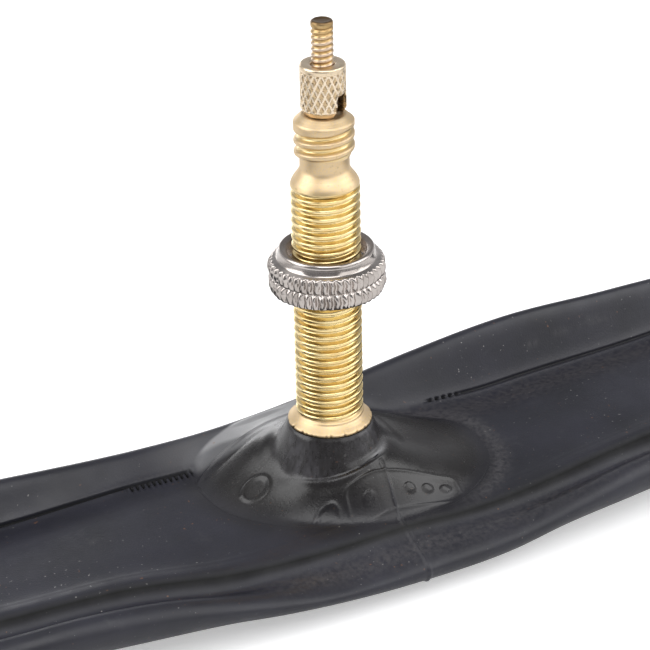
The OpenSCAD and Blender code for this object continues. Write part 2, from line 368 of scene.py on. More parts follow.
TYPICAL = section_knots(np.array([40.0]))[:, :, 0]
PLACES = section_places(TYPICAL)
ROUND = PLACES[-1]
LIP_AT, FRONT_LINE_AT, BACK_LINE_AT, ROLL_AT = PLACES[3], PLACES[8], PLACES[11], PLACES[13]
SOFTEN = 0.8
TAUT_ENDS = (BACK_LINE_AT - 2.6, ROLL_AT + 0.3)
TAUT_LEFT = (-11.5, -7.5)
TAUT_RIGHT = (0.5, 4.0)


def ring_curve(knots, at):
    """A closed cubic through the section's knots, its slope at a knot taken from the knots on both sides."""
    count = len(knots)
    step = np.diff(PLACES)
    left = np.roll(step, 1)
    chord = (np.roll(knots, -1, 0) - knots) / step[:, None, None]
    share = (left / (left + step))[:, None, None]
    slope = np.roll(chord, 1, 0) * (1 - share) + chord * share
    at = at % ROUND
    i = np.clip(np.searchsorted(PLACES, at, side="right") - 1, 0, count - 1)
    j = (i + 1) % count
    t = ((at - PLACES[i]) / step[i])[:, None, None]
    return hermite(t, step[i][:, None, None], knots[i], knots[j], slope[i], slope[j])


def loose_section(along, at):
    """Front and height of the tube's skin at places round the section, for each place along the tube.

    The curve through the section's knots is averaged with itself a little to either side, and carries the
    dome on its upper side.
    """
    knots = section_knots(along)
    got = (ring_curve(knots, at - SOFTEN) + 2 * ring_curve(knots, at) + ring_curve(knots, at + SOFTEN)) / 4
    front, height = got[:, 0], got[:, 1]
    top = (at > LIP_AT) & (at < ROLL_AT)
    height = np.where(top[:, None], height + dome(along[None, :], front), height)
    return front, np.maximum(height, 0)


def section(along, at):
    """The loose section, with the hollow behind the valve's left side bridged by a skin that is stretched
    straight from the dome's shoulder to the rolled edge."""
    front, height = loose_section(along, at)
    end_front, end_height = loose_section(along, np.array(TAUT_ENDS))
    share = (front - end_front[0]) / (end_front[1] - end_front[0])
    bridge = end_height[0] + (end_height[1] - end_height[0]) * share
    within = ((at > TAUT_ENDS[0]) & (at < TAUT_ENDS[1]))[:, None]
    stretch = span(along, TAUT_LEFT, TAUT_RIGHT)
    return front, np.where(within, height + stretch * np.maximum(bridge - height, 0), height)


def on_ring(along, front, height):
    """Points along, across and above the ring as places in the frame: an angle of along over the radius."""
    turn = along / RING_R
    return np.stack([(RING_R + front) * np.sin(turn), -(RING_R + front) * np.cos(turn), height], -1)


# Fine lines in the rubber
GROOVE_W = 0.22
GROOVE_AWAY = (12.5, 13.5)
GROOVE_DEPTH = 0.42
RIGHT_GROOVE = 0.65
LEFT_TEETH = (-17.4, -10.6)
RIGHT_TEETH = (15.2, 19.6)
TOOTH = 0.55
TOOTH_EDGE = (0.35, 0.65)
TOOTH_BAND = (-0.34, 0.42)
TOOTH_WEIGHT = 1.9
LEFT_FILLED = 0.1
DOT = 0.78
DOT_EDGE = (0.3, 0.6)
RIGHT_FILLED = 0.6
FRONT_BEAD = 0.02
FRONT_BEAD_W = 0.22
RIB_FOOT = (2.5, 7.0)
RIB_START = (4.6, 5.0)
RIB_END = (2.7, 13.0)
RIB_W = 0.16
RIB_H = 0.14

# Painted sheen on the skin stretched behind the valve's left side: ways along the ring, and behind its
# middle line
SHEEN_FRONT = 5.2
SHEEN_NEARER = 2.0
NEARER_ALONG = (-7.5, -3.0)
TIP_DRAW = 1.0
TIP_END = -6.0
FACET_TIP = (-10.4, 8.3)
FACET_STEPS = [(0.4, (0.0, 1.0)), (0.6, (2.1, 2.9))]
FOLD_SLOPE = 0.353
FOLD_EDGE = (-0.3, 0.3)
SHEEN_FADE = (1.5, 5.0)
EDGE_SHEEN = 0.25
SHEEN_BEHIND = ((7.2, 8.4), (9.6, 10.6))
SHEEN_ALONG = (-16, -9)

# Dust and dirt on the tube, and painted shade in the front fold: strengths, bands across the section,
# and where along the ring they begin
HALO = 1.3
HALO_BAND = (1.0, 0.9)
HALO_SIDE = (0.6, 0.95)
EDGE_DUST = 1.2
EDGE_BAND = (-2.7, 2.0)
EDGE_BEGIN = (8, 14)
RIDGE_DUST = 1.0
RIDGE_BAND = (-5.2, 1.5)
RIDGE_BEGIN = (-14, -8)
FOLD_SHADE_BAND = (-2.25, 0.62)
SCUFFS = [(28.4, 0.7, 2.4, 0.35), (32.2, 0.9, 2.7, 0.3), (37.2, 1.6, 2.9, 0.35)]


def rib(along, front):
    """The thin flash across the tube where two halves of the mould met: a bell across a slanted line."""
    share = (front - RIB_FOOT[1]) / (RIB_END[1] - RIB_FOOT[1])
    middle = RIB_FOOT[0] + (RIB_END[0] - RIB_FOOT[0]) * share
    return RIB_H * hump(along, middle, RIB_W) * ease(front, *RIB_START)


def mould_lines(along, at):
    """Height of the mould's lines on the skin: a dark groove with teeth behind, a faint bead in front."""
    left, right = LEFT_TEETH, RIGHT_TEETH
    near_left = span(along, (left[0], left[0] + 0.5), (left[1] - 0.3, left[1]))
    near_right = span(along, (right[0] - 0.2, right[0]), (right[1] - 2, right[1]))
    tooth = near_left * ease(wave(along / TOOTH), *TOOTH_EDGE)
    dots = near_right * ease(wave(along / DOT), *DOT_EDGE)
    away = ease(np.abs(along - PAD_MIDDLE[0]), *GROOVE_AWAY)
    share = np.where(along < 0, 1, RIGHT_GROOVE)
    from_groove = at - BACK_LINE_AT
    strength = share * away - LEFT_FILLED * near_left - RIGHT_FILLED * near_right + dots
    groove = hump(from_groove, 0, share * GROOVE_W) * strength
    teeth = hump(from_groove, *TOOTH_BAND) * tooth
    bead = hump(at - FRONT_LINE_AT, 0, FRONT_BEAD_W)
    return FRONT_BEAD * bead - GROOVE_DEPTH * np.maximum(groove, TOOTH_WEIGHT * teeth)


def stepped(edges, steps):
    """Places from edge to edge, each stretch cut into equal parts that come nearest to its own step."""
    return np.concatenate([
        np.linspace(a, b, max(1, round((b - a) / step)), endpoint=False)
        for a, b, step in zip(edges[:-1], edges[1:], steps)
    ])


def stations():
    """Places along the ring: close together round the valve and closest at its finest lines."""
    half = RING_R * math.pi
    edges = [-half, -60, -36, *LEFT_TEETH, -5.0, 2.2, 6.4, *RIGHT_TEETH, 48, 70, half]
    return stepped(edges, [6.2, 1.6, 0.5, 0.11, 0.25, 0.4, 0.1, 0.5, 0.13, 0.5, 1.6, 6.2])


def places_round():
    """Places round the section: close together on top and closest at the two mould lines."""
    front, back = FRONT_LINE_AT, BACK_LINE_AT
    edges = [0, LIP_AT - 2, front - 0.5, front + 0.5, back - 0.8, back + 0.5, ROLL_AT + 3, ROUND]
    return stepped(edges, [1.6, 0.42, 0.12, 0.5, 0.09, 0.28, 1.5])


def painted_sheen_share(along, front):
    """How strongly a pale painted sheen lies on the stretched skin behind the valve's left side, from 0 to
    1.

    A facet rises in two steps from the dome, further forward close to the valve, and ends at a straight fold
    that runs from its left tip to the rolled edge. Beyond the fold the rolled edge keeps a faint painted
    sheen.
    """
    behind = -front
    tip_along, tip_behind = FACET_TIP
    drawn = TIP_DRAW * (1 - ease(along, tip_along, TIP_END))
    begin = SHEEN_FRONT + drawn - SHEEN_NEARER * ease(along, *NEARER_ALONG)
    steps = sum(share * ease(behind - begin, *step) for share, step in FACET_STEPS)
    past_fold = behind - tip_behind - FOLD_SLOPE * (along - tip_along)
    facet = steps * (1 - ease(past_fold, *FOLD_EDGE)) * ease(along, tip_along - 0.4, tip_along + 0.6)
    sheen = EDGE_SHEEN * span(behind, *SHEEN_BEHIND) * ease(along, *SHEEN_ALONG)
    return np.maximum(facet, sheen) * (1 - ease(along, *SHEEN_FADE))


def tube_points():
    """The tube's skin: the section at every station, raised along its own normal by the fine lines.

    With it come four marks: how far a point lies down in a groove or in the front fold's valley, where shade
    is painted, how much it looks like the pad, how worn it is and how strongly a painted sheen lies on it.
    """
    along, at = stations(), places_round()
    front, height = section(along, at)
    along, at = along[None, :], at[:, None]
    d_front, d_height = (np.gradient(np.vstack([v[-1:], v, v[:1]]), axis=0)[1:-1] for v in (front, height))
    size = np.hypot(d_front, d_height) + 1e-9
    past_front, past_back = at - FRONT_LINE_AT, at - BACK_LINE_AT
    upper = (at > LIP_AT - 1) & (at < ROLL_AT)
    raised = mould_lines(along, at)
    # Painted shade: darkest down in the mould's groove and in the front fold's valley
    groove = np.clip(np.maximum(-raised / GROOVE_DEPTH, hump(past_front, *FOLD_SHADE_BAND)), 0, 1)
    raised = raised + np.where(upper, rib(along, front), 0)
    front = front + raised * d_height / size
    height = np.maximum(height - raised * d_front / size, 0)
    points = on_ring(along, front, height)
    x, y = points[..., 0], -points[..., 1] - RING_R
    angle = np.arctan2(y, x)
    beyond = np.hypot(x, y) - np.interp(angle, BORDER_TURNS, pad_border(BORDER_TURNS))
    halo = HALO * hump(beyond, *HALO_BAND) * ease(np.cos(angle), *HALO_SIDE)
    beside_groove = EDGE_DUST * hump(past_back, *EDGE_BAND) * ease(along, *EDGE_BEGIN)
    on_ridge = RIDGE_DUST * hump(past_front, *RIDGE_BAND) * ease(along, *RIDGE_BEGIN)
    marks = {
        "groove": groove,
        "bond": 0.5 * (1 - ease(beyond, 0, BOND_FADE)) * upper,
        "wear_and_highlight": (halo + beside_groove + on_ridge + spots(along, past_back, SCUFFS)) * upper,
        # Painted sheen on the stretched skin
        "painted_sheen": painted_sheen_share(along, front) * upper,
    }
    return points, marks


def tube_top(along, front):
    """Height of the tube's upper skin at any place near the valve, read between the lines of a fine grid."""
    grid_along = np.linspace(-20, 24, 177)
    grid_front = np.linspace(-9.5, 11, 165)
    at = np.linspace(LIP_AT + 1, ROLL_AT - 0.5, 500)
    skin_front, skin_height = section(grid_along, at)
    table = np.stack([
        np.interp(grid_front, f[::-1], h[::-1]) for f, h in zip(skin_front.T, skin_height.T)
    ])
    x = np.clip((along - grid_along[0]) / (grid_along[1] - grid_along[0]), 0, len(grid_along) - 1.001)
    y = np.clip((front - grid_front[0]) / (grid_front[1] - grid_front[0]), 0, len(grid_front) - 1.001)
    i, j = x.astype(int), y.astype(int)
    u, v = x - i, y - j
    return (
        table[i, j] * (1 - u) * (1 - v) + table[i + 1, j] * u * (1 - v)
        + table[i, j + 1] * (1 - u) * v + table[i + 1, j + 1] * u * v
    )


# The pad's marks on its front slope: a plain raised frame, rings and round pips
SLOPE_TOP = 5.6
SLOPE_STRETCH = 1.8
FRAME_ALONG = (-1.6, 9.4)
FRAME_DOWN = (0.2, 3.8)
FRAME_LINE = 0.17
FRAME_RISE = 0.12
FRAME_CORNER = 0.6
PIP_R = 0.5
PIP_ROUND = 0.16
PIP_RISE = 0.2
PIP_PLACES = (0.3, 4.4, 6.2, 8.0)
RING_PLACES = ((-3.6, 6.3, 1.2, 1.6), (-7.6, 0.2, 1.2, 1.1))
RING_LINE = 0.2
RING_RISE = 0.13

# The boss's rubbed spots, which also paint its light patches as highlights, and its painted highlight:
# degrees round from the right, half width, share of the way up, half height
RUBBED_BASE = 0.3
RUBBED_AND_HIGHLIGHT_SPOTS = [(58, 24, 0.75, 0.35), (162, 22, 0.5, 0.35), (140, 24, 0.0, 0.25)]
HIGHLIGHT_STRENGTH = 0.85
HIGHLIGHT_SPOTS = [(52, 15, 0.02, 0.22)]


def pad_marks(along, front):
    """Bells across the outline of a rounded rectangle and of rings, and round pips, all laid out along the
    pad and down its front slope, which is longer than it looks from above."""
    down = (front - SLOPE_TOP) * SLOPE_STRETCH
    mid_along, mid_down = sum(FRAME_ALONG) / 2, sum(FRAME_DOWN) / 2
    over_along = np.abs(along - mid_along) - (FRAME_ALONG[1] - mid_along) + FRAME_CORNER
    over_down = np.abs(down - mid_down) - (FRAME_DOWN[1] - mid_down) + FRAME_CORNER
    outside = np.hypot(np.maximum(over_along, 0), np.maximum(over_down, 0))
    distance = outside + np.minimum(np.maximum(over_along, over_down), 0) - FRAME_CORNER
    marks = FRAME_RISE * hump(distance, 0, FRAME_LINE)
    for middle, across, radius, stretch in RING_PLACES:
        reach = np.hypot(along - middle, (front - across) * stretch)
        marks = marks + RING_RISE * hump(reach, radius, RING_LINE)
    for middle in PIP_PLACES:
        reach = np.hypot(along - middle, down - mid_down)
        marks = marks + PIP_RISE * (1 - ease(reach, PIP_R - PIP_ROUND, PIP_R + PIP_ROUND))
    return marks


def pad_grid(columns, rows):
    """The pad's top from the valve out to its border: the tube's skin, the pad's own thickness and the boss.

    Rows run outwards with more of them on the boss. The boss is a cone, and where it stands above the dome
    it wins. Their meeting is rounded off by half the root of the squared gap plus a squared blend, which
    leaves a crease at the foot in front and a hollow fillet behind and on the right. With the points come
    three marks: how much they look like the pad, how rubbed they are, with the boss's light patches painted
    in as highlights, and how strongly a painted sheen or a painted highlight lies on them.
    """
    angle = np.linspace(0, TURN, columns, endpoint=False)[None, :]
    share = np.linspace(0, 1, rows)[:, None]
    share = np.append(0.75 * share + 0.25 * share ** 2, [[BORDER_EDGE]], axis=0)
    share = np.sort(share, axis=0)
    border = pad_border(angle)
    reach = BOSS_TOP_R + (border - BOSS_TOP_R) * share
    c, d = np.cos(angle), np.sin(angle)
    x, front = reach * c, reach * d
    along, across = RING_R * np.arctan2(x, RING_R + front), np.hypot(x, RING_R + front) - RING_R
    skin = tube_top(along, across)
    inside = ease(border - reach, 0, PAD_EDGE)
    pad = skin + PAD_LIFT + PAD_STEP * inside
    up = np.clip((BOSS_R - reach) / (BOSS_R - BOSS_TOP_R), -4, 1)
    boss = BOSS_TOP - BOSS_RISE + BOSS_RISE * up
    behind_left = ease(-c, 0.2, 0.9) * ease(-d, -0.35, 0.25)
    at_right = ease(c, 0.2, 0.8) * ease(-d, -0.85, -0.35)
    blend = FILLET_FRONT + FILLET_LEFT * behind_left + FILLET_RIGHT * at_right
    rounded = (pad + boss + np.hypot(pad - boss, blend)) / 2
    settled = rounded - (rounded - np.maximum(pad, boss)) * ease(reach, BOSS_R + 1, BOSS_R + 2)
    height = np.where(reach > BOSS_R + 2, pad, settled)
    height = height - BOSS_LIP * (1 - ease(reach, BOSS_TOP_R, BOSS_TOP_R + 0.3)) ** 2
    crease = CREASE * (hump(reach, BOSS_R, 0.14) - hump(reach, BOSS_R + 0.38, 0.17))
    crease = crease * ease(d, 0.2, 0.7) * (1 - ease(c, 0.45, 0.8))
    bead = BEAD * hump(border - reach, 0.22, 0.2) * ease(-front, 4.5, 6.5)
    raised = pad_marks(along, across) * ease(reach, BOSS_R, BOSS_R + 0.3)
    flash = rib(along, across) * (reach > BOSS_R + 0.5)
    height = height - crease + bead + (raised + flash) * inside
    turn = np.degrees(angle)
    on_boss = 1 - ease(reach, BOSS_R + 0.1, BOSS_R + 0.9)
    marks = {
        "bond": 0.5 + 0.5 * ease(border - reach, 0, BOND_FADE),
        # Rubbed, and on the boss's light patches a painted highlight
        "wear_and_highlight": (RUBBED_BASE + spots(turn, up, RUBBED_AND_HIGHLIGHT_SPOTS)) * on_boss,
        # Painted sheen on the stretched skin, and a painted highlight at the boss's right foot
        "painted_sheen": painted_sheen_share(along, across) + HIGHLIGHT_STRENGTH * spots(turn, up, HIGHLIGHT_SPOTS) * on_boss,
    }
    return x, front, height, skin, marks


def pad_points():
    """A closed skin: the pad's top, and under it a copy of the tube's skin that it lies on.

    They are joined at the border and, round the stem, by the wall of the stem's hole.
    """
    x, front, top, skin, marks = pad_grid(PAD_COLUMNS, PAD_ROWS)
    under = slice(None, None, -PAD_UNDER_STEP)
    foot = np.minimum(skin[under] + PAD_LIFT, top[under] - PAD_LIFT / 2)
    grids = [np.vstack([x, x[under]]), -np.vstack([front, front[under]]), np.vstack([top, foot])]
    return VALVE + np.stack(grids, -1), {key: np.vstack([m, m[under]]) for key, m in marks.items()}


# The valve's turned pieces
STEM_R = 3.0
STEM_COLUMNS = 180
FOOT_R = 5.0
STEM_DEPTH = 0.42
STEM_PITCH = 0.8
STEM_FADE = 0.5
CAP_R = 2.6
CAP_DEPTH = 0.44
CAP_PITCH = 1.058
CAP_START = 0.05
CAP_FADE = 0.45
SKIRT_R = 3.75
SKIRT_RISE = 1.3
SKIRT_POWER = 1.7
SKIRT_NICKS = 0.16
NICKS_HALF_H = 0.16
THREAD_LOW = BOSS_TOP + 0.35
THREAD_HIGH = STEM_TOP - 6.35
SHOULDER_RISE = 1.65
CAP_LOW = STEM_TOP - 3.88
CAP_HIGH = STEM_TOP - 0.8
NECK_R = 2.14
BORE_R = 1.8
GUIDE_R = 1.1
SEAT = STEM_TOP - 7.5


def stem_outline():
    """Half the stem's section, from its foot up the outside and down the bore, as (radius, height).

    The skirt's flare is a power of the way down, and the shoulder is a smooth step.
    """
    foot = stem_low[2]
    root, cap_root = STEM_R - STEM_DEPTH, CAP_R - CAP_DEPTH
    lower = [
        (FOOT_R, foot), (FOOT_R, foot + 1), (STEM_R, foot + 1.3), (STEM_R, BOSS_TOP - 1),
        (SKIRT_R - 0.1, BOSS_TOP - 0.18), (SKIRT_R, BOSS_TOP - 0.1), (SKIRT_R, BOSS_TOP + 0.06),
    ]
    rise = np.linspace(0, 1, 21)
    flare_r = root + (SKIRT_R - 0.04 - root) * (1 - rise) ** SKIRT_POWER
    flare = np.stack([flare_r, BOSS_TOP + 0.12 + SKIRT_RISE * rise], -1)
    shank = divided([(root, flare[-1, 1] + 0.05), (root, THREAD_HIGH - 0.25)], STEM_PITCH / 16)
    start = [(STEM_R - 0.12, THREAD_HIGH - 0.14)]
    up = np.linspace(0, 1, 18)
    shoulder_r = NECK_R + (STEM_R - 0.04 - NECK_R) * (1 - ease(up, 0, 1))
    shoulder = np.stack([shoulder_r, THREAD_HIGH + SHOULDER_RISE * up], -1)
    neck = [(NECK_R, CAP_LOW - 0.06)]
    cap = divided([(cap_root, CAP_LOW + 0.06), (cap_root, CAP_HIGH - 0.35)], CAP_PITCH / 18)
    crown = np.vstack([
        [(CAP_R - 0.16, CAP_HIGH - 0.2)],
        arc((CAP_R - 0.36, CAP_HIGH + 0.02), 0.36, -10, 62, 8),
        [(1.98, STEM_TOP - 0.06), (1.9, STEM_TOP - 0.01), (1.82, STEM_TOP)],
    ])
    inside = [(GUIDE_R, STEM_TOP), (GUIDE_R, SEAT), (BORE_R, SEAT), (BORE_R, foot)]
    return np.vstack([lower, flare, shank, start, shoulder, neck, cap, crown, inside])


def ragged(angle):
    """Uneven teeth round an edge, from 0 to 1: two sines multiplied, plus half a third, cut off below."""
    return np.clip(np.sin(11 * angle + 1) * np.sin(29 * angle) + 0.5 * np.sin(53 * angle + 2) - 0.25, 0, 1)


def stem_points():
    """The stem's outline carried round its axis, with two helical threads and a nicked skirt."""
    def shape(radius, height, angle):
        outer = radius > BORE_R + 0.05
        fine = STEM_DEPTH * thread(height, angle, STEM_PITCH, THREAD_LOW, THREAD_HIGH + 0.15, STEM_FADE)
        coarse = CAP_DEPTH * thread(height, angle, CAP_PITCH, CAP_LOW, CAP_HIGH + 0.3, CAP_FADE, CAP_START)
        nicks = -SKIRT_NICKS * ragged(angle) * hump(height, BOSS_TOP, NICKS_HALF_H)
        limit = np.where(height < THREAD_HIGH + 0.3, STEM_R, CAP_R)
        threaded = np.minimum(radius + fine + coarse, np.maximum(limit, radius))
        cut = np.where(height > THREAD_LOW, threaded, radius)
        return np.where(outer, cut + nicks, radius)

    points = turned(stem_outline(), STEM_COLUMNS, shape)
    return points, stem_marks(points)


def stem_marks(points):
    """The stem is pale and matte at its turned top and skirt, and grimy where the skirt meets the rubber.
    The roots of the cap's thread stay yellow and bright."""
    height = points[..., 2]
    turn = np.linspace(0, TURN, STEM_COLUMNS, endpoint=False)
    top = ease(height, THREAD_HIGH - 0.3, THREAD_HIGH + 0.4)
    skirt = 1 - ease(height, BOSS_TOP + 0.7, BOSS_TOP + 1.3)
    root = 1 - ease(from_axis(points), CAP_R - 0.4, CAP_R - 0.12)
    root = root * span(height, (CAP_LOW + 0.2, CAP_LOW + 0.4), (CAP_HIGH - 0.5, CAP_HIGH - 0.3))
    soiled = 1 - ease(height, BOSS_TOP - 0.1, BOSS_TOP + 0.03 + 0.4 * ragged(turn))
    return {
        "pale": top * (1 - 0.85 * root) + skirt,
        "matte": 1.1 * top * (1 - 0.6 * root) + 1.2 * skirt,
        "grime_and_shade": 0.85 * soiled,
    }


NUT_TEETH = 47
NUT_R = (nut_high[0] - nut_low[0]) / 2
NUT_ROOT_R = NUT_R - 0.34
COLLAR_R = 4.2
COLLAR_LEAN = 0.1
COLLAR_BORE = 3.45
NUT_RING_H = 2.9
TOOTH_DEPTH = 0.32
TOOTH_FOOT = 0.06
TOOTH_UNEVEN = 0.22
TOOTH_POWER = 1.5
ROW_SHIFT = 0.37


def rim_nut_outline():
    """Half the rim nut's section: two knurled rows, a ledge, a collar with a coned top, and the bore."""
    low, high = nut_low[2], nut_high[2]
    top = low + NUT_RING_H
    bore = STEM_R + 0.05
    base = [(bore, low), (NUT_R - 0.5, low), (NUT_R - 0.4, low + 0.03)]
    rows = [(NUT_ROOT_R, low + 0.08), (NUT_ROOT_R, top - 0.1)]
    ledge = [
        (NUT_R - 0.4, top - 0.03), (NUT_R - 0.5, top + 0.01),
        (COLLAR_R + 0.2, top + 0.03), (COLLAR_R + COLLAR_LEAN, top + 0.12),
    ]
    collar = [
        (COLLAR_R, high - 0.3), (COLLAR_R - 0.03, high - 0.16), (COLLAR_R - 0.1, high - 0.05),
        (COLLAR_R - 0.2, high), (COLLAR_R - 0.3, high - 0.01),
        (COLLAR_BORE + 0.1, high - 0.13), (COLLAR_BORE, high - 0.24),
    ]
    inner = [
        (COLLAR_BORE, high - 1.36), (COLLAR_BORE - 0.1, high - 1.4), (bore, high - 1.55), (bore, low + 0.3),
    ]
    stretches = [(base, 0.5), (rows, 0.06), (ledge, 0.3), (collar, 0.2), (inner, 0.6)]
    return np.vstack([divided(line, step) for line, step in stretches])


def rim_nut_points():
    """The rim nut's outline carried round, with upright rounded teeth in two rows that taper at their ends.
    Slow sines make the teeth uneven in place and in depth."""
    low, middle = nut_low[2], nut_low[2] + NUT_RING_H / 2

    def shape(radius, height, angle):
        knurled = np.abs(radius - NUT_ROOT_R) < 0.005
        lower = height < middle
        row = (height - np.where(lower, low, middle)) / (NUT_RING_H / 2)
        taper = np.clip(np.sin(np.pi * np.clip(row, 0, 1)), 0, 1) ** 0.5
        shift = np.where(lower, ROW_SHIFT, 0.0) + 0.09 * np.sin(5 * angle) + 0.05 * np.sin(19 * angle)
        ridge = wave(angle * NUT_TEETH / TURN + shift + 0.04 * np.sin(8 * height))
        uneven = 1 + TOOTH_UNEVEN * np.sin(11 * angle + 3 * lower) * np.sin(4 * angle + 1)
        tooth = TOOTH_DEPTH * uneven * np.sin(np.pi / 2 * ridge) ** TOOTH_POWER
        return np.where(knurled, radius - TOOTH_FOOT + taper * (TOOTH_FOOT + tooth), radius)

    points = turned(rim_nut_outline(), 10 * NUT_TEETH, shape)
    return points, rim_nut_marks(points)


def rim_nut_marks(points):
    """The rim nut's coned top is matte, and darker and browner as a painted reflection of the brass stem."""
    reach = from_axis(points)
    cone = (reach > COLLAR_BORE - 0.02) & (reach < COLLAR_R - 0.15) & (points[..., 2] > nut_high[2] - 0.3)
    # Painted reflection: darker and browner on the coned top
    return {"grime_and_shade": 0.55 * cone, "matte": 0.8 * cone}


SLOT_ROOF_HALF = 0.62
SLOT_FOOT_HALF = 0.85
SLOT_HEIGHT = 1.65
SLOT_TURN = math.radians(-58)
SLOT_COLUMNS = 20
FREE_COLUMNS = 130
KNURL_COUNT = 20
KNURL_RISE = 1.26
KNURL_DEPTH = 0.1
KNURL_EDGE = (0.14, 0.62)
# Painted shade in the slot and in the knurl's pits
SLOT_SHADE = 0.25
PIT_SHADE = 0.22
BAND_PALE = 0.6
LOCK_BAND = 0.52
LOCK_FOOT = 0.55


def lock_nut_points():
    """A knurled barrel with an air slot across its foot.

    Two crossing families of raised lines leave diamond pits. At the slot the outline starts at the slot's
    roof, and each ring of points bends its angles so that the slot's walls stay straight. With the points
    come two marks: painted shade in the slot and the pits, and a paler tone on the plain bands and on the
    raised lines, where it is a painted highlight.
    """
    low, high = lock_low[2], lock_high[2]
    outer_r = (lock_high[0] - lock_low[0]) / 2
    bore = 1.0
    knurl_low, knurl_high = low + LOCK_FOOT, high - LOCK_BAND
    foot = [(outer_r - 0.32, low), (outer_r - 0.25, low + 0.1), (outer_r - 0.06, knurl_low - 0.1)]
    barrel = [(outer_r, knurl_low), (outer_r, knurl_high)]
    band = [
        (outer_r - 0.02, knurl_high + 0.04), (outer_r, knurl_high + 0.1), (outer_r, high - 0.2),
        (outer_r - 0.04, high - 0.1), (outer_r - 0.12, high - 0.02), (outer_r - 0.2, high),
    ]
    top = [(1.2, high), (1.08, high - 0.04), (bore, high - 0.14)]
    inner = divided([(bore, high - 0.3), (bore, low + 0.02)], 0.3)
    base = [(bore + 0.05, low), (outer_r - 0.4, low)]
    outline = np.vstack([divided(foot, 0.06), divided(barrel, 0.036), band, top, inner, base])
    roof = low + SLOT_HEIGHT
    half = np.interp(outline[:, 1], [low, roof], [SLOT_FOOT_HALF, SLOT_ROOF_HALF])
    edge = np.arcsin(np.minimum(half / outline[:, 0], 1))[:, None]
    slot = edge * np.linspace(-0.985, 0.985, SLOT_COLUMNS)
    free = edge + (math.pi - 2 * edge) * np.linspace(0.004, 0.996, FREE_COLUMNS)
    cut = np.tile(np.repeat([True, False], [SLOT_COLUMNS, FREE_COLUMNS]), 2)[None, :]
    angle = np.hstack([slot, free, slot + math.pi, free + math.pi])
    radius, height = outline[:, :1] + 0 * angle, outline[:, 1:] + 0 * angle
    height = np.where(cut, roof + (height - low) * (high - roof) / (high - low), height)
    around, lean = angle * KNURL_COUNT / TURN, height / KNURL_RISE
    lines = np.minimum(wave(around + lean), wave(around - lean))
    fade = span(height, (knurl_low - 0.1, knurl_low + 0.1), (knurl_high - 0.12, knurl_high))
    rough = np.abs(radius - outer_r) < 0.001
    radius = np.where(rough, radius - KNURL_DEPTH * fade * ease(lines, *KNURL_EDGE), radius)
    angle = angle + SLOT_TURN
    # Painted shade in the slot and the pits, and a painted highlight on the raised lines
    in_slot = SLOT_SHADE * cut * (outline[:, 1:] < low + 0.9)
    marks = {
        "grime_and_shade": in_slot + PIT_SHADE * fade * rough * ease(lines, 0.25, 0.75),
        "pale": np.where(rough, fade * (1 - ease(lines, 0.14, 0.5)) + BAND_PALE * (1 - fade), BAND_PALE),
    }
    return round_valve(radius, angle, height), marks


PIN_R = 0.95
PIN_COLUMNS = 64
SPIGOT_R = 0.65
PIN_DEPTH = 0.13
PIN_PITCH = 0.5
TIP_L = 0.62
TIP_WEAR = 0.03


def pin_outline():
    """Half the pin's section: riveted end, spigot, shank, thread and a plain tip with a shallow dish."""
    low, high = pin_low[2], pin_high[2]
    shank, tip = seal_high[2], high - TIP_L
    root = PIN_R - PIN_DEPTH
    lower = [
        (0.85, low), (1.0, low + 0.15), (1.0, low + 0.5), (SPIGOT_R, low + 0.5),
        (SPIGOT_R, shank), (PIN_R, shank), (PIN_R, STEM_TOP - 0.02),
    ]
    screw = divided([(root, STEM_TOP + 0.1), (root, tip)], PIN_PITCH / 14)
    upper = [
        (PIN_R - 0.06, tip + 0.08), (PIN_R, tip + 0.16), (PIN_R, high - 0.2), (PIN_R - 0.05, high - 0.07),
        (PIN_R - 0.14, high - 0.01), (0.72, high - 0.01), (0.64, high - 0.06), (0.3, high - 0.08),
    ]
    return np.vstack([lower, screw, upper])


def pin_points():
    """The pin's outline carried round, with a fine helical thread and a worn tip."""
    high = pin_high[2]

    def shape(radius, height, angle):
        ridge = PIN_DEPTH * thread(height, angle, PIN_PITCH, STEM_TOP, high - TIP_L + 0.15, 0.2)
        screwed = (height > STEM_TOP) & (height < high - TIP_L + 0.1)
        worn = TIP_WEAR * np.abs(np.sin(5 * angle) * np.sin(2 * angle + 1)) * (height > high - 0.25)
        return np.where(screwed, np.minimum(radius + ridge, PIN_R), radius - worn)

    points = turned(pin_outline(), PIN_COLUMNS, shape)
    return points, pin_marks(points)


def pin_marks(points):
    """The pin's crests are paler below its tip, and its dish and tip are grimy."""
    under_tip = pin_high[2] - points[..., 2]
    crest = ease(from_axis(points), PIN_R - 0.12, PIN_R - 0.02) * ease(under_tip, TIP_L, 2.0)
    smeared = 0.3 * (1 - ease(under_tip, 0.1, TIP_L + 0.6))
    return {"pale": 0.6 * crest, "grime_and_shade": np.where(under_tip < 0.1, 0.8, smeared)}


def seal_points():
    """The rubber seal: a short round-edged ring on the pin's spigot."""
    low, high = seal_low[2], seal_high[2]
    outer_r = (seal_high[0] - seal_low[0]) / 2
    outline = np.vstack([
        [(SPIGOT_R, low)],
        arc((outer_r - 0.2, low + 0.2), 0.2, -90, 0, 6),
        arc((outer_r - 0.35, high - 0.35), 0.35, 0, 90, 8),
        [(SPIGOT_R, high)],
    ])
    return turned(outline, PIN_COLUMNS), {}


# Materials

def feed(tree, socket, value):
    """Links a node's output to a socket, or sets the socket to a plain value."""
    if isinstance(value, bpy.types.NodeSocket):
        tree.links.new(value, socket)
    elif socket.type == "RGBA" and len(value) == 3:
        socket.default_value = (*value, 1)
    else:
        socket.default_value = value


def fill(tree, node, **inputs):
    """The node, with its named inputs fed; an underscore in a name stands for a space."""
    for key, value in inputs.items():
        feed(tree, node.inputs[key.replace("_", " ")], value)
    return node


